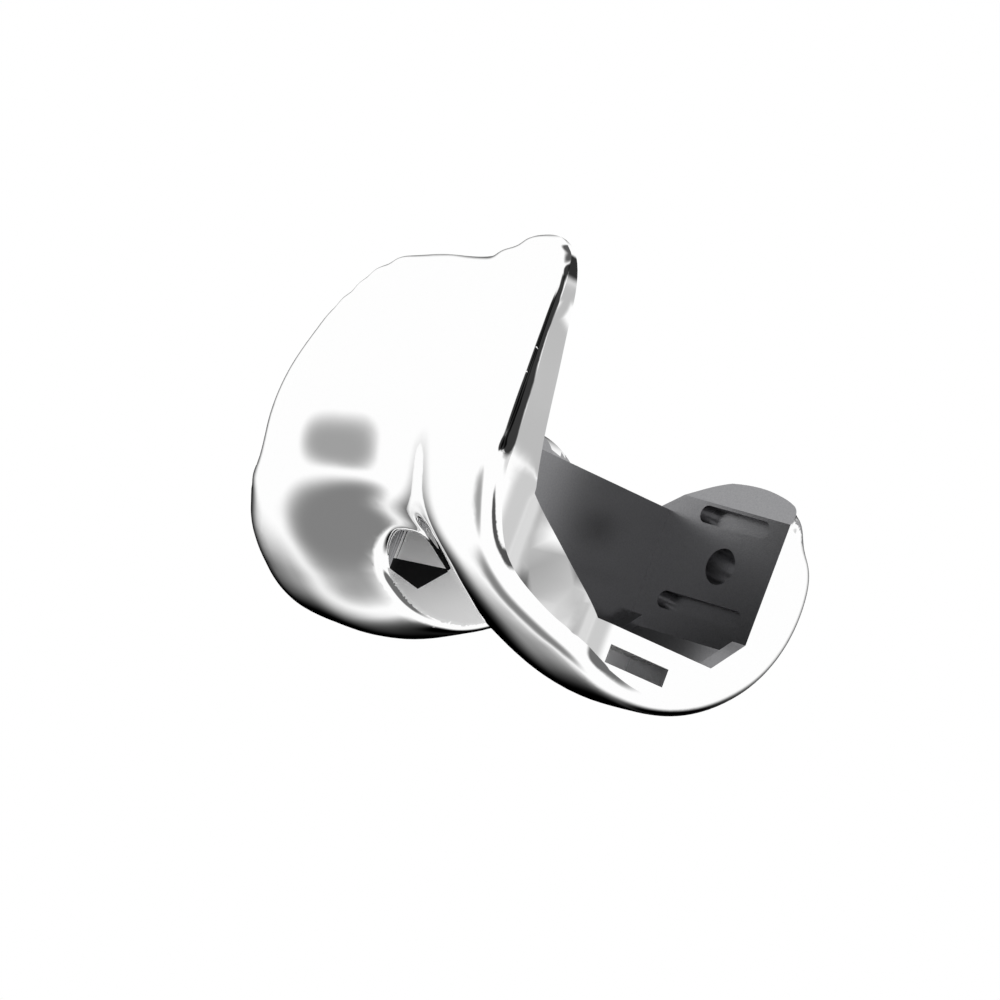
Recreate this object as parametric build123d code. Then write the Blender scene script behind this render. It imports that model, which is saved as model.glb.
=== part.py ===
from build123d import *
import math
import os

os.makedirs("parts", exist_ok=True)

# Frame while modelling: x sideways, plus on the side with the taller flange,
# y backward with 0 at the posterior cut, z upward with 0 at the distal cut.

# Overall width and the bone cuts
half_width = 32.1
distal_cut_length = 22.4
posterior_chamfer = 4.6
anterior_chamfer = 11.8
anterior_lean = 5.5
cut_front = -(posterior_chamfer + distal_cut_length)
anterior_foot = (cut_front - anterior_chamfer, anterior_chamfer)
above = 70.0

# Bearing curve seen from the side: lowest point and the radii that follow one another
distal_thickness = 9.2
lowest_y = -13.8
flange_radius = 160.0
front_radius = 26.4
distal_radius = 33.9
back_radius = 26.3
rear_radius = 18.0
tip_radius = 17.5
first_angle = -10.4
last_angle = 234.0
row_spacing = 2.3
body_depth = 13.0
cut_depth = 7.5
beyond_fall = 9.0

# Falls of the bearing face from its crowns
condyle_crown_x = 22.0
flange_ridge_x = 16.5
condyle_valley = 5.0
groove_valley = 4.9
knee_valley = 2.5
flange_valley = 2.0
flange_top_valley = 1.0
tip_valley = 5.0
distal_fall_radius = 80.0
rear_fall_radius = 60.0
tip_fall_radius = 20.0
rim_radius = 2.6
flange_rim_radius = 2.4
flange_top_rim_radius = 1.4
corner_soft = 0.25

# The flange stands further forward on the near side
near_lift = 1.7
near_lift_top = 0.3

# Lift of the far condyle over the common bearing curve, by the angle of its normal
far_lift = [(60, 0.0), (67, 0.15), (75, 0.7), (80, 0.9), (88, 0.7), (95, 0.35), (102, 0.1),
            (108, -0.25), (116, -0.65), (125, -0.7), (140, -0.5)]

# Outline from above: half width against y, from the condyles forward to the flange
plan_outline = [(-52.0, 24.0), (-44.0, 24.2), (-40.5, 24.5), (-38.0, 25.3), (-34.5, 27.4), (-31.0, 29.6),
                (-28.0, 31.4), (-25.0, half_width), (-22.0, half_width)]
far_plan_extra = 1.9

# Flange outline from the front, near side up over the top and down the far side
flange_outline = [(33.4, 0.0), (29.3, 5.0), (27.2, 8.0), (25.5, 11.0), (24.4, 15.0), (23.6, 20.0), (22.9, 27.0),
                  (22.1, 34.0), (21.1, 39.8), (19.1, 43.0), (15.7, 44.2), (12.0, 43.2), (7.9, 40.8), (3.5, 39.2),
                  (-2.0, 38.4), (-7.2, 37.3), (-11.0, 35.3), (-14.0, 31.7), (-17.1, 27.0), (-19.7, 21.8),
                  (-21.7, 15.6), (-22.9, 11.0), (-24.1, 6.0), (-27.0, 0.0)]
flange_trim_z = 5.0
flange_blend_z = 9.0
near_shoulder = 41.0
far_shoulder = 28.0

# Outline of each condyle's rear tip, from the box to the side
tip_outline = [(7.5, 18.3), (10.1, 20.1), (12.2, 21.6), (14.6, 23.5), (17.1, 24.9), (20.2, 25.8), (23.0, 26.0),
               (26.1, 25.6), (29.4, 24.4), (half_width, 23.2)]
far_tip_drop = 1.4

# Box that takes the stabilising post, and the notch below it
box_half_width = 10.5
box_wall = 2.0
box_roof = 2.0
box_height = 19.0
notch_half_width = box_half_width - box_wall
notch_front = -31.0
notch_corner = 6.0
notch_edge_radius = 1.8
cam_radius = 3.4
cam_y = -1.6
cam_z = 6.5

# Cement recess in the cut faces
recess_depth = 1.1
rim_outer = 2.5
rim_inner = 2.0

# Rear face: two slots and a blind hole in each condyle
slot_width = 2.4
slot_depth = 1.9
upper_slot = (22.4, 19.8, 10.4)
lower_slot = (21.85, 7.4, 13.1)
rear_hole_radius = 2.5
rear_hole_depth = 4.0
rear_hole = (22.8, 13.6)

# Pocket in each side for the holding tool
pocket_length = 11.6
pocket_height = 2.45
pocket_depth = 7.3
pocket_front = -23.5
pocket_top = -2.4


def bearing_arcs():
    """Centre, radius and normal-angle range of each arc of the bearing curve."""
    arcs = []
    corner = math.radians(45)
    lowest = (lowest_y, -distal_thickness)
    distal = (lowest[0], lowest[1] + distal_radius)
    step = distal_radius - front_radius
    front = (distal[0] - step * math.cos(corner), distal[1] - step * math.sin(corner))
    flange = (front[0] + flange_radius - front_radius, front[1])
    back = (lowest[0], lowest[1] + back_radius)
    step = back_radius - rear_radius
    rear = (back[0] + step * math.cos(corner), back[1] - step * math.sin(corner))
    tip = (rear[0] + rear_radius - tip_radius, rear[1])
    arcs.append((flange, flange_radius, 0.0))
    arcs.append((front, front_radius, 45.0))
    arcs.append((distal, distal_radius, 90.0))
    arcs.append((back, back_radius, 135.0))
    arcs.append((rear, rear_radius, 180.0))
    arcs.append((tip, tip_radius, 360.0))
    return arcs


def bearing(angle):
    """Point (y, z) and outward normal of the bearing curve, by the angle of its normal."""
    centre, radius, limit = next(arc for arc in bearing_arcs() if angle <= arc[2])
    normal = (-math.cos(math.radians(angle)), -math.sin(math.radians(angle)))
    return (centre[0] + radius * normal[0], centre[1] + radius * normal[1]), normal


def row_angles():
    """Normal angles of the rows, evenly spaced along the bearing curve, tips first."""
    angles = [last_angle]
    while angles[-1] > first_angle:
        radius = next(arc[1] for arc in bearing_arcs() if angles[-1] <= arc[2])
        angles.append(angles[-1] - math.degrees(row_spacing / radius))
    return angles


def blend(a, b, t):
    """Soft change from a to b while t runs from 0 to 1."""
    t = min(max(t, 0.0), 1.0)
    return a + (b - a) * t ** 3 * (10 - 15 * t + 6 * t * t)


def line_at(points, t):
    """Value at t on a list of (t, value), straight between its points."""
    for (t0, v0), (t1, v1) in zip(points, points[1:]):
        if t <= t1:
            return v0 + (v1 - v0) * max(t - t0, 0.0) / (t1 - t0)
    return points[-1][1]


def plan_points(side):
    """Outline points from above on one side, as (y, half width), front to back."""
    extra = far_plan_extra if side < 0 else 0.0
    return [(y, x + blend(0.0, extra, (-26.0 - y) / 9.0)) for y, x in plan_outline]


def plan_curve(side, samples=240):
    """Smooth half width from above, as (y, half width)."""
    curve = Edge.make_spline([Vector(y, x) for y, x in plan_points(side)])
    return [(p.X, p.Y) for p in (curve.position_at(i / samples) for i in range(samples + 1))]


def outline_samples():
    """Points along the flange outline, as (x, z)."""
    curve = Edge.make_spline([Vector(x, z) for x, z in flange_outline])
    return [(p.X, p.Y) for p in (curve.position_at(i / 320) for i in range(321))]


def outline_slack(z):
    """How far the front outline gives way to the one from above, toward the condyles."""
    return 0.04 * max(flange_blend_z - z, 0.0) ** 2


def inset(x, y, z, samples, plan):
    """Distance of a point inside both outlines (minus outside), with a soft corner between them."""
    half, behind = line_at(plan[x < 0], y), line_at(plan[x < 0], y + 1)
    side = (half - abs(x)) / math.hypot(1, behind - half)
    if z <= 0 or y > cut_front:
        return side
    best = 1e9
    inside = False
    for (x0, z0), (x1, z1) in zip(samples, samples[1:]):
        dx, dz = x1 - x0, z1 - z0
        t = min(max(((x - x0) * dx + (z - z0) * dz) / (dx * dx + dz * dz), 0.0), 1.0)
        best = min(best, math.hypot(x - x0 - t * dx, z - z0 - t * dz))
        if (z0 > z) != (z1 > z) and x < x0 + (z - z0) * dx / dz:
            inside = not inside
    front = (best if inside else -best) + outline_slack(z)
    nearer = min(front, side)
    return nearer - corner_soft * math.log(1 + math.exp(-abs(front - side) / corner_soft))


def rim_fall(distance, radius):
    """Fall of a rounded edge at a distance from it."""
    if distance >= radius:
        return 0.0
    left = (radius - distance) / radius
    if left <= 0.9:
        return radius * (1 - math.sqrt(1 - left * left))
    beyond = radius * 2.0647 * (left - 0.9)
    return radius * 0.5641 + beyond_fall * (1 - math.exp(-beyond / beyond_fall))


def cross_fall(x, ridge, valley, side_radius):
    """Fall of the bearing face from its crowns, toward the middle and the sides."""
    a = abs(x)
    if a < ridge:
        return valley * (0.5 + 0.5 * math.cos(math.pi * a / ridge))
    return (a - ridge) ** 2 / (2 * side_radius)


def outline_half(z, side, samples):
    """Half width of the front outline at a height, up to the shoulder of that side."""
    shoulder = near_shoulder if side > 0 else far_shoulder
    for (x0, z0), (x1, z1) in zip(samples[::side], samples[::side][1:]):
        if z <= z0 or z1 > shoulder:
            return abs(x0)
        if z <= z1:
            return abs(x0 + (x1 - x0) * (z - z0) / (z1 - z0))


def half_widths(y, z, samples, plan):
    """Half width of the body at a place on the near side and on the far side, by both outlines."""
    halves = [line_at(curve, y) for curve in plan]
    if z <= 0:
        return halves
    return [min(half, outline_half(z, side, samples) + outline_slack(z))
            for half, side in zip(halves, (1, -1))]


def row_positions(near, far, rim, spreads=(0.0, 0.0)):
    """Sideways stations of a row, closer together toward its two rims."""
    def half(width, spread):
        inner = width - rim
        rounding = [inner + rim * share for share in (0.25, 0.5, 0.72, 0.88, 1.0, 1.3)]
        rounding[-1] += spread
        return [inner * i / 10 for i in range(1, 11)] + rounding
    return [-x for x in reversed(half(far, spreads[1]))] + [0.0] + half(near, spreads[0])


def row(angle, samples, plan):
    """One closed section square to the bearing curve."""
    (y, z), (ny, nz) = bearing(angle)
    level = z if angle < 90 else -20.0
    halves = half_widths(y, level, samples, plan)
    foot_y, foot_z = y - ny * cut_depth, z - nz * cut_depth
    feet = half_widths(foot_y, foot_z if angle < 90 else -20.0, samples, plan)
    spreads = [max(foot - half, 0.0) for foot, half in zip(feet, halves)]
    lift = blend(near_lift, 0.0, (angle - 30) / 42)
    if angle < 15:
        lift = blend(near_lift, near_lift_top, (15 - angle) / 23)
    t = (70.0 - angle) / 60.0
    ridge = blend(condyle_crown_x, flange_ridge_x, t)
    rim = blend(rim_radius, flange_rim_radius, t)
    if angle < 0:
        rim = blend(flange_rim_radius, flange_top_rim_radius, -angle / 5)
    if angle > 185:
        valley = blend(condyle_valley, tip_valley, (angle - 185) / 30)
    elif angle > 52:
        valley = blend(condyle_valley, groove_valley, (80 - angle) / 28)
    elif angle > 25:
        valley = blend(groove_valley, knee_valley, (52 - angle) / 27)
    elif angle > 0:
        valley = blend(knee_valley, flange_valley, (25 - angle) / 25)
    else:
        valley = blend(flange_valley, flange_top_valley, -angle / 8)
    side_radius = blend(distal_fall_radius, rear_fall_radius, (angle - 100) / 60)
    if angle > 188:
        side_radius = blend(rear_fall_radius, tip_fall_radius, (angle - 188) / 27)
    points = []
    for x in row_positions(halves[0], halves[1], rim, spreads):
        base = cross_fall(x, ridge, valley, side_radius) - lift * blend(0.0, 1.0, x / flange_ridge_x)
        base -= line_at(far_lift, angle) * blend(0.0, 1.0, -x / flange_ridge_x)
        edge = inset(x, y - ny * base, level, samples, plan)
        for _ in range(4):
            fall = min(base + rim_fall(edge, rim), body_depth - 1.0)
            edge = (edge + inset(x, y - ny * fall, level, samples, plan)) / 2
        points.append(Vector(x, y - ny * fall, z - nz * fall))
    even = row_positions(half_width, half_width, rim_radius)
    shares = [(x - even[0]) / (even[-1] - even[0]) for x in even]
    ends = [Vector(p.X, y - ny * body_depth, z - nz * body_depth) for p in (points[-1], points[0])]
    return Wire([Edge.make_spline(points, parameters=shares), Edge.make_line(points[-1], ends[0]),
                 Edge.make_line(ends[0], ends[1]), Edge.make_line(ends[1], points[0])])


def side_prism(points, x0, x1):
    """Solid between two sideways planes, from a closed list of (y, z) points."""
    corners = [Vector(x0, y, z) for y, z in points]
    return Solid.extrude(Face(Wire.make_polygon(corners, close=True)), Vector(x1 - x0, 0, 0))


def cut_profile(depth=0.0):
    """Closed side profile of the room cut for the bone."""
    lean = math.tan(math.radians(anterior_lean))
    rise = above - anterior_foot[1]
    return [(depth, above), (depth, posterior_chamfer), (-posterior_chamfer, 0), (cut_front, 0),
            anterior_foot, (anterior_foot[0] - rise * lean, above)]


def body():
    """Curved shell between the bearing surface and the bone cuts, within its outlines."""
    samples = outline_samples()
    plan = (plan_curve(1), plan_curve(-1))
    shell = Solid.make_loft([row(angle, samples, plan) for angle in row_angles()])

    # trim to the outline seen from above
    low, rear = -20.0, 40.0
    near_plan = [Vector(x, y, low) for y, x in reversed(plan_points(1))]
    far_plan = [Vector(-x, y, low) for y, x in plan_points(-1)]
    path = [far_plan[-1], Vector(-half_width, rear, low), Vector(half_width, rear, low), near_plan[0]]
    edges = [Edge.make_line(a, b) for a, b in zip(path, path[1:])]
    edges += [Edge.make_spline(near_plan), Edge.make_line(near_plan[-1], far_plan[0]),
              Edge.make_spline(far_plan)]
    shell = shell & Solid.extrude(Face(Wire(edges)), Vector(0, 0, 2 * above))

    # trim the flange to its outline seen from the front
    front = Edge.make_spline([Vector(x, -above, z) for x, z in flange_outline])
    path = [front.position_at(1), Vector(-50, -above, flange_outline[-1][1]), Vector(-50, -above, above),
            Vector(50, -above, above), Vector(50, -above, flange_outline[0][1]), front.position_at(0)]
    edges = [front] + [Edge.make_line(a, b) for a, b in zip(path, path[1:])]
    waste = Solid.extrude(Face(Wire(edges)), Vector(0, above + cut_front, 0))
    top = side_prism([(-90, flange_trim_z), (0, flange_trim_z), (0, 90), (-90, 90)], -60, 60)
    shell = shell - (waste & top)

    # trim the rear tips to their outlines
    for side in (1, -1):
        drop = far_tip_drop if side < 0 else 0.0
        ends = [Vector(side * x, cut_front + 1, z - drop) for x, z in tip_outline]
        path = [ends[-1], Vector(side * 40, cut_front + 1, ends[-1].Z), Vector(side * 40, cut_front + 1, above),
                Vector(0, cut_front + 1, above), Vector(0, cut_front + 1, ends[0].Z), ends[0]]
        edges = [Edge.make_spline(ends)] + [Edge.make_line(a, b) for a, b in zip(path, path[1:])]
        shell = shell - Solid.extrude(Face(Wire(edges)), Vector(0, 60, 0))
    return shell


def notch_prism(low, high):
    """Room between the condyles, round-cornered at the front, open to the rear."""
    w, r, rear = notch_half_width, notch_corner, 40.0
    side_y, bend = notch_front + r, r * (1 - math.sqrt(0.5))
    near_arc = [Vector(w - r, notch_front, low), Vector(w - bend, notch_front + bend, low),
                Vector(w, side_y, low)]
    far_arc = [Vector(-p.X, p.Y, low) for p in reversed(near_arc)]
    corners = [near_arc[2], Vector(w, rear, low), Vector(-w, rear, low), far_arc[0]]
    edges = [Edge.make_line(a, b) for a, b in zip(corners, corners[1:])]
    edges += [Edge.make_three_point_arc(*far_arc), Edge.make_line(far_arc[2], near_arc[0]),
              Edge.make_three_point_arc(*near_arc)]
    return Solid.extrude(Face(Wire(edges)), Vector(0, 0, high - low))


def notch_edges(solid):
    """Edges where the notch walls meet the bearing face."""
    def off_wall(p):
        x, y = abs(p.X) - notch_half_width + notch_corner, p.Y - notch_front - notch_corner
        if y > 0:
            return abs(x - notch_corner)
        return abs(math.hypot(x, y) - notch_corner) if x > 0 else abs(-y - notch_corner)
    found = []
    for edge in solid.edges():
        points = [edge.position_at(i / 8) for i in range(9)]
        lowest = min(p.Z for p in points)
        if edge.geom_type == GeomType.BSPLINE and lowest < 2 * posterior_chamfer:
            if max(map(off_wall, points)) < 0.005:
                found.append(edge)
    return found


def round_slot(x, z, straight, width, depth):
    """Round-ended sinking in the rear face, running sideways."""
    r = width / 2
    h = straight / 2
    start = [Vector(x - h, 0, z - r), Vector(x + h, 0, z - r),
             Vector(x + h, 0, z + r), Vector(x - h, 0, z + r)]
    edges = [Edge.make_line(start[0], start[1]),
             Edge.make_three_point_arc(start[1], Vector(x + h + r, 0, z), start[2]),
             Edge.make_line(start[2], start[3]),
             Edge.make_three_point_arc(start[3], Vector(x - h - r, 0, z), start[0])]
    face = Face(Wire(edges))
    return Solid.extrude(face, Vector(0, depth, 0)) + Solid.extrude(face, Vector(0, -1, 0))


def recess(side):
    """Shallow cement room in the distal and rear chamfer cuts of one condyle."""
    slope = recess_depth * math.sqrt(2)
    inner = recess_depth * math.tan(math.radians(22.5))
    front = cut_front + rim_outer
    profile = [(0, posterior_chamfer + 0.01), (0, posterior_chamfer - slope),
               (-posterior_chamfer + inner, -recess_depth), (front, -recess_depth), (front, 2), (-6, 2)]
    x0 = side * (box_half_width + rim_inner)
    x1 = side * (half_width - rim_outer)
    return side_prism(profile, x0, x1)


def femoral_component():
    solid = body() - side_prism(cut_profile(), -50, 50)
    box_front = notch_front - box_wall
    block = side_prism([(box_front, -2), (0, -2), (0, box_height), (box_front, box_height)],
                       -box_half_width, box_half_width)
    room = side_prism(cut_profile(), -40, 40)
    solid = solid + (block & room)
    solid = solid - notch_prism(-40, box_height - box_roof)
    solid = solid - side_prism([(0, -5), (30, -5), (30, 40), (0, 40)], -notch_half_width, notch_half_width)
    for side in (1, -1):
        solid = solid - recess(side)
        for x, z, straight in (upper_slot, lower_slot):
            solid = solid - round_slot(side * x, z, straight, slot_width, slot_depth)
        hole = Solid.make_cylinder(rear_hole_radius, rear_hole_depth + 1,
                                   Plane(origin=(side * rear_hole[0], -1, rear_hole[1]), z_dir=(0, 1, 0)))
        solid = solid - hole
        pocket = side_prism([(pocket_front, pocket_top - pocket_height),
                             (pocket_front + pocket_length, pocket_top - pocket_height),
                             (pocket_front + pocket_length, pocket_top), (pocket_front, pocket_top)],
                            side * (half_width - pocket_depth), side * (half_width + 1))
        solid = solid - pocket
    solid = solid.fillet(notch_edge_radius, notch_edges(solid))
    cam = Solid.make_cylinder(cam_radius, 2 * notch_half_width + 2,
                              Plane(origin=(-notch_half_width - 1, cam_y, cam_z), z_dir=(1, 0, 0)))
    return solid + cam


# The part's own frame has its origin in the middle of the distal cut
to_seat = Location((0, posterior_chamfer + distal_cut_length / 2, 0))
export_step(femoral_component().moved(to_seat), "parts/femoral_component.step")
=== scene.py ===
import math

import bmesh
import bpy
import numpy as np
from mathutils import Matrix, Vector


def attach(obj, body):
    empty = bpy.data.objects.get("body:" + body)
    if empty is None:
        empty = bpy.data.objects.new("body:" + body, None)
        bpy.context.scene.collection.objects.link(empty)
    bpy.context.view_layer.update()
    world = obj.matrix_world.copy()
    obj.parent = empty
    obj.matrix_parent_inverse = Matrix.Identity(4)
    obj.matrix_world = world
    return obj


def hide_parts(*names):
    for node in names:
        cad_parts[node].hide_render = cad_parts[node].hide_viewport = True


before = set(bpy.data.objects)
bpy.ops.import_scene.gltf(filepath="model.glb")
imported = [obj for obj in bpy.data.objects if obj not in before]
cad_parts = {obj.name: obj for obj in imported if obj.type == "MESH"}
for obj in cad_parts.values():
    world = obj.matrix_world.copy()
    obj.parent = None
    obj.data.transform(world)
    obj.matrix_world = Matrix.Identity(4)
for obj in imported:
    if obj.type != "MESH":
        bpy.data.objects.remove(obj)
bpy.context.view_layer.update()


# The femoral component is one cobalt-chrome casting. Its bearing faces are ground and polished to a
# mirror, and the faces that the cement bonds to are blasted with grit, which leaves them dark and matt.
# The piece is the merged mesh of the solid, with a finish on each face.
MM = 0.001
DISTAL_MIDDLE = 15.8
POSTERIOR_CHAMFER = 4.6
CUT_FRONT = -27.0
ANTERIOR_FOOT = (-38.8, 11.8)
ANTERIOR_LEAN = math.tan(math.radians(5.5))
RECESS = (-1.15, -25.0, 12.3, 29.8)
SINKING_DEPTH = 4.2
NOTCH_HALF_WIDTH = 8.5
NOTCH_FRONT = -31.0
BOX_ROOF_UNDER = 17.0
# from this height up the inside of the box takes the near-black painted shade
BOX_SHADE_FROM = 7.0
REAR_CAP_FROM = 18.0
CEMENT_SLOTS = (10.5, 31.5, 3.0, 22.5)
HOLDER_POCKET = (24.7, 32.05, -23.6, -11.8, -4.95, -2.3)
SHARP = math.radians(16)
FAINT = math.radians(2.5)


def linear(hex_colour):
    """Linear values of an sRGB hex colour."""
    parts = [int(hex_colour[i:i + 2], 16) / 255 for i in (1, 3, 5)]
    return [p / 12.92 if p <= 0.04045 else ((p + 0.055) / 1.055) ** 2.4 for p in parts] + [1.0]


def node(tree, kind, settings=None, **links):
    """Adds a shader node, sets its properties and feeds its sockets with values or other sockets."""
    made = tree.nodes.new(kind)
    for name, value in (settings or {}).items():
        setattr(made, name, value)
    for name, value in links.items():
        socket = made.inputs[int(name[1:])] if name[1:].isdigit() else made.inputs[name.replace("_", " ")]
        if isinstance(value, bpy.types.NodeSocket):
            tree.links.new(value, socket)
        else:
            socket.default_value = value
    return made


def finish_material(name):
    """An empty material with its Principled shader."""
    material = bpy.data.materials.new(name)
    material.use_nodes = True
    return material, material.node_tree, material.node_tree.nodes["Principled BSDF"]


# mirror-polished cobalt chrome: nearly white metal with clean reflections
polished, tree, shader = finish_material("mirror_polished_cobalt_chrome")
shader.inputs["Base Color"].default_value = linear("#FEFEFE")
shader.inputs["Metallic"].default_value = 1.0
shader.inputs["Roughness"].default_value = 0.04

# grit-blasted cobalt chrome: dark gray, matt, with a fine even grain of about 0.25 mm
GRIT = 0.25
blasted, tree, shader = finish_material("grit_blasted_cobalt_chrome")
place = node(tree, "ShaderNodeTexCoord")
grain = node(tree, "ShaderNodeTexNoise", Vector=place.outputs["Object"], Scale=1 / (GRIT * MM), Detail=2.0,
             Roughness=0.6)
tint = node(tree, "ShaderNodeMix", {"data_type": "RGBA"}, Factor=grain.outputs["Fac"],
            i6=linear("#858587"), i7=linear("#A0A0A2"))
bump = node(tree, "ShaderNodeBump", Height=grain.outputs["Fac"], Strength=0.35, Distance=0.00004)
tree.links.new(tint.outputs[2], shader.inputs["Base Color"])
tree.links.new(bump.outputs["Normal"], shader.inputs["Normal"])
shader.inputs["Metallic"].default_value = 1.0
shader.inputs["Roughness"].default_value = 0.28

# inside of the box and a patch low on the notch walls: painted shade, a near-black metal standing in for
# the shade deep in the box and notch; its matt roughness is the casting's own
notch_painted_shade, tree, shader = finish_material("box_inside_painted_shade")
shader.inputs["Base Color"].default_value = linear("#1C1C1D")
shader.inputs["Metallic"].default_value = 1.0
shader.inputs["Roughness"].default_value = 0.55

# rest of the notch walls, and the pockets: ground but not buffed, so a softer shine
ground_finish, tree, shader = finish_material("ground_cobalt_chrome")
shader.inputs["Base Color"].default_value = linear("#FEFEFE")
shader.inputs["Metallic"].default_value = 1.0
shader.inputs["Roughness"].default_value = 0.5

POLISHED, BLASTED, PAINTED_SHADE, GROUND = 0, 1, 2, 3


def bone_side(x, y, z):
    """Whether a place is on or inside the room cut for the bone, with its recesses, slots and holes."""
    reach = 0.07
    chamfer = (y - z + POSTERIOR_CHAMFER) / math.sqrt(2)
    front_chamfer = (CUT_FRONT - y - z) / math.sqrt(2)
    front = ANTERIOR_FOOT[0] - y - (z - ANTERIOR_FOOT[1]) * ANTERIOR_LEAN
    if max(y, chamfer, -z, front_chamfer, front) < reach:
        return True
    low, foremost, inner, outer = RECESS
    if low < z < POSTERIOR_CHAMFER and foremost < y < 0 and inner < abs(x) < outer:
        return chamfer < 1.2 or z > low and y < -POSTERIOR_CHAMFER
    inner, outer, low, high = CEMENT_SLOTS
    return 0 <= y < SINKING_DEPTH and inner < abs(x) < outer and low < z < high


def in_notch(x, y, z):
    """Whether a place is on the walls of the notch or under the roof of the box."""
    return abs(x) < NOTCH_HALF_WIDTH + 0.05 and y > NOTCH_FRONT - 0.05 and z < BOX_ROOF_UNDER + 0.05


def ground_side(face):
    """Whether a face is on the straight ground side of the piece, and not on its rounded rim."""
    n = face.normal
    return abs(n.x) > 0.6 and min(abs(n.y), abs(n.z)) < 0.004


def in_pocket(x, y, z):
    """Whether a place is inside the pocket that the holding tool takes in each side."""
    inner, outer, front, rear, low, high = HOLDER_POCKET
    return inner < abs(x) < outer and front < y < rear and low < z < high


solid_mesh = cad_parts["femoral_component"].data
component = bpy.data.objects.new("femoral_component_finished", solid_mesh.copy())
bpy.context.scene.collection.objects.link(component)
component.data.materials.clear()
for material in (polished, blasted, notch_painted_shade, ground_finish):
    component.data.materials.append(material)

shape = bmesh.new()
shape.from_mesh(component.data)
bmesh.ops.remove_doubles(shape, verts=shape.verts, dist=0.00001)
bmesh.ops.dissolve_degenerate(shape, edges=shape.edges, dist=0.00001)

# the walls are cut along the lines, in y and z, that bound the patch of painted shade: two below it and one
# above
SHADE_PATCH_FRONT_LINE = ((-25.7, -1.74), (-20.0, -2.65))
SHADE_PATCH_REAR_LINE = ((-20.0, -2.65), (-16.0, 0.97))
SHADE_PATCH_TOP_LINE = ((-25.0, 0.0), (-16.0, 1.4))


def height_over(line, y, z):
    """How far a place is above a line, or below it where negative."""
    (start_y, start_z), (end_y, end_z) = line
    return (z - start_z) - (end_z - start_z) * (y - start_y) / (end_y - start_y)


for start, end in (SHADE_PATCH_FRONT_LINE, SHADE_PATCH_REAR_LINE, SHADE_PATCH_TOP_LINE):
    along = Vector((0, end[0] - start[0], end[1] - start[1])).normalized()
    walls = [f for f in shape.faces if abs(f.normal.x) > 0.9 and
             abs(abs(f.calc_center_median().x / MM) - NOTCH_HALF_WIDTH) < 0.1]
    geometry = walls + list({e for f in walls for e in f.edges})
    geometry += list({v for f in walls for v in f.verts})
    bmesh.ops.bisect_plane(shape, geom=geometry, dist=0.000001,
                           plane_co=Vector((0, (start[0] + DISTAL_MIDDLE) * MM, start[1] * MM)),
                           plane_no=Vector((0, -along.z, along.y)))

for face in shape.faces:
    centre = face.calc_center_median() / MM
    x, y, z = centre.x, centre.y - DISTAL_MIDDLE, centre.z
    in_shade_patch = height_over(SHADE_PATCH_FRONT_LINE, y, z) > 0 and height_over(SHADE_PATCH_REAR_LINE, y, z) > 0 \
        and height_over(SHADE_PATCH_TOP_LINE, y, z) < 0
    off_the_rounding = not 0.02 < abs(face.normal.x) < 0.98
    # deep in the box, and in the patch low on the notch walls, faces take the near-black painted shade
    if in_notch(x, y, z) and (off_the_rounding or z > BOX_SHADE_FROM):
        shade_patch_wall = in_shade_patch and abs(face.normal.x) > 0.98
        face.material_index = PAINTED_SHADE if shade_patch_wall or z > BOX_SHADE_FROM else GROUND
    elif in_pocket(x, y, z):
        face.material_index = BLASTED if face.normal.y < -0.5 else GROUND
    elif bone_side(x, y, z) or z > REAR_CAP_FROM and -1 < y < 3 and face.normal.y < -0.5:
        face.material_index = BLASTED
    else:
        face.material_index = POLISHED
    face.smooth = True
for edge in shape.edges:
    turn = edge.calc_face_angle(math.pi)
    same_kind = len({(ground_side(f), f.material_index) for f in edge.link_faces}) == 1
    edge.smooth = turn < (SHARP if same_kind else FAINT)
# a sharp edge that ends within a smooth surface would show as a fleck in the polish
for _ in range(2):
    for edge in shape.edges:
        if any(all(other.smooth for other in v.link_edges if other != edge) for v in edge.verts):
            edge.smooth = True
shape.to_mesh(component.data)


def near_vertices(vertex, links, wanted=26):
    """The vertices around one, ring by ring over the smooth surface."""
    found, ring = {vertex}, {vertex}
    while len(found) < wanted:
        ring = {w for v in ring for w in links[v]} - found
        if not ring:
            break
        found |= ring
    return found


def fitted_normal(vertex, around, places, rough_normal):
    """Normal of a curved sheet fitted through the vertices around one."""
    away = places[list(around)] - places[vertex]
    distance = np.linalg.norm(away, axis=1)
    reach = np.sort(distance)[min(12, len(distance) - 1)]
    side = np.cross(rough_normal, (1.0, 0, 0) if abs(rough_normal[0]) < 0.8 else (0, 1.0, 0))
    side /= np.linalg.norm(side)
    other = np.cross(rough_normal, side)
    u, v, w = away @ side / reach, away @ other / reach, away @ rough_normal / reach
    weight = np.exp(-(distance / reach) ** 2 * 0.8)
    terms = np.stack([np.ones_like(u), u, v, u * u, u * v, v * v], 1)
    left = (terms * weight[:, None]).T @ terms + np.diag([0, 1e-4, 1e-4, 2e-3, 2e-3, 2e-3])
    right = (terms * weight[:, None]).T @ w
    fit = np.linalg.solve(left, right)
    normal = rough_normal - side * fit[1] - other * fit[2]
    return normal / np.linalg.norm(normal)


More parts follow.
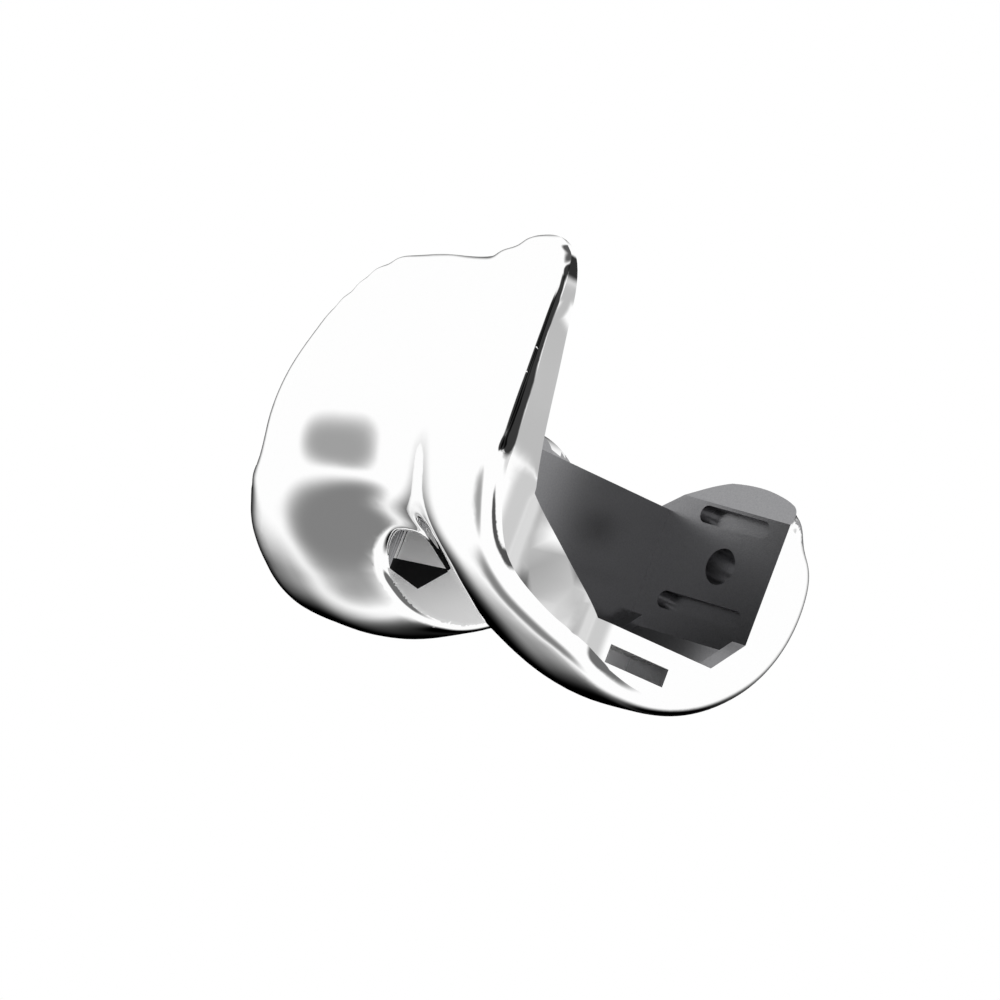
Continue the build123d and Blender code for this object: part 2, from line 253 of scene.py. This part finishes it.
# the polish shows every facet, so each vertex gets the normal of the smooth surface that it lies on
shape.faces.ensure_lookup_table()
shape.verts.index_update()
places = np.array([v.co for v in shape.verts])
loop_normals = np.zeros((sum(len(f.verts) for f in shape.faces), 3))
first_loop = np.cumsum([0] + [len(f.verts) for f in shape.faces])
done = set()
for face in shape.faces:
    if face.index in done:
        continue
    sheet, waiting = [], [face]
    done.add(face.index)
    while waiting:
        at = waiting.pop()
        sheet.append(at)
        for edge in at.edges:
            if edge.smooth:
                for other in edge.link_faces:
                    if other.index not in done:
                        done.add(other.index)
                        waiting.append(other)
    links, rough = {}, {}
    for at in sheet:
        for corner in at.loops:
            v = corner.vert.index
            links.setdefault(v, set()).update(w.index for w in at.verts)
            rough[v] = rough.get(v, 0) + np.array(at.normal) * corner.calc_angle()
    fitted = {}
    for v, total in rough.items():
        total = total / np.linalg.norm(total)
        around = near_vertices(v, links)
        fitted[v] = fitted_normal(v, around, places, total) if len(around) > 7 else total
        if fitted[v] @ total < 0.9:
            fitted[v] = total
    for at in sheet:
        flat_wall = at.material_index in (PAINTED_SHADE, GROUND) and abs(at.normal.x) > 0.999
        for i, v in enumerate(at.verts):
            loop_normals[first_loop[at.index] + i] = at.normal if flat_wall else fitted[v.index]
shape.free()
component.data.normals_split_custom_set(loop_normals.tolist())
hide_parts("femoral_component")
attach(component, "root")


# The studio is a white tent with a pale floor far below. Soft black flags hang far off in it, as they
# do when polished metal is photographed, and draw the dark bands on the mirror finish.
TOWARD_CAMERA = Vector((0.7147, -0.6954, -0.0747))
RIGHT = Vector((0.6715, 0.6523, 0.3514))
UP = Vector((-0.1957, -0.3013, 0.9332))


def bearing(off_axis, turn):
    """Direction at an angle from the camera's side, turned round it from the right."""
    a, t = math.radians(off_axis), math.radians(turn)
    return TOWARD_CAMERA * math.cos(a) + (RIGHT * math.cos(t) + UP * math.sin(t)) * math.sin(a)


FLAGS = [
    # where each flag hangs (angle off the camera's side, turn), its core and its soft edge, how dark
    (168, -115, 7, 50, 1.0),
    (138, -72, 9, 28, 1.0),
    (21, 80, 8, 12, 0.96),
    (23, 50, 8, 12, 0.96),
    (38, 25, 14, 22, 0.96),
    (62, 37, 8, 17, 0.96),
    (84, 32, 11, 19, 0.96),
    (106, 21, 12, 20, 0.97),
    (92, 62, 12, 24, 0.9),
    (72, -52, 14, 22, 0.85),
    (29, -72, 5, 10, 0.92),
    (91, -2, 3, 12, 0.5),
    (66, -12, 6, 20, 0.4),
    (42, -9, 4, 12, 0.3),
    (73, -168, 1, 18, 0.65),
    (98, -127, 3, 28, 0.78),
]
world = bpy.data.worlds.new("white_tent")
bpy.context.scene.world = world
world.use_nodes = True
tree = world.node_tree
tree.nodes.clear()
ray = node(tree, "ShaderNodeTexCoord")
level = None
for off_axis, turn, core, edge, darkness in FLAGS:
    toward = bearing(off_axis, turn)
    near = node(tree, "ShaderNodeVectorMath", {"operation": "DOT_PRODUCT"},
                i0=ray.outputs["Generated"], i1=toward)
    shade = node(tree, "ShaderNodeMapRange", {"interpolation_type": "SMOOTHSTEP"},
                 Value=near.outputs["Value"], i1=math.cos(math.radians(edge)),
                 i2=math.cos(math.radians(core)), i3=1.0, i4=1.0 - darkness)
    if level is None:
        level = shade.outputs["Result"]
    else:
        both = node(tree, "ShaderNodeMath", {"operation": "MULTIPLY"}, i0=level, i1=shade.outputs["Result"])
        level = both.outputs[0]
path = node(tree, "ShaderNodeLightPath")
seen = node(tree, "ShaderNodeMath", {"operation": "MAXIMUM"}, i0=level, i1=path.outputs["Is Camera Ray"])
background = node(tree, "ShaderNodeBackground", Color=linear("#FFFFFF"), Strength=seen.outputs[0])
node(tree, "ShaderNodeOutputWorld", Surface=background.outputs[0])

# the floor is plain pale paper that takes the shadow of the part, and it stays out of the metal, where
# the tent stands for it
FLOOR_LEVEL = -0.16
ground = bmesh.new()
bmesh.ops.create_grid(ground, x_segments=1, y_segments=1, size=3.0,
                      matrix=Matrix.Translation((0, 0, FLOOR_LEVEL)))
floor_mesh = bpy.data.meshes.new("pale_floor")
ground.to_mesh(floor_mesh)
ground.free()
floor = bpy.data.objects.new("pale_floor", floor_mesh)
bpy.context.scene.collection.objects.link(floor)
floor.visible_glossy = False
paper, tree, shader = finish_material("pale_floor_paper")
shader.inputs["Base Color"].default_value = linear("#FAFAFA")
shader.inputs["Roughness"].default_value = 0.9
shader.inputs["Specular IOR Level"].default_value = 0.0
floor_mesh.materials.append(paper)


# The camera stands nearly a metre off with a long lens, turned as the photograph was
lens = bpy.data.cameras.new("camera")
lens.sensor_width = 36.0
lens.lens = 270.0
lens.clip_start, lens.clip_end = 0.05, 20.0
camera = bpy.data.objects.new("camera", lens)
bpy.context.scene.collection.objects.link(camera)
camera.matrix_world = Matrix.Translation((0.7050, -0.6901, -0.0619)) @ \
    Matrix((RIGHT, UP, TOWARD_CAMERA)).transposed().to_4x4()
bpy.context.scene.camera = camera
bpy.context.scene.view_settings.view_transform = "Standard"
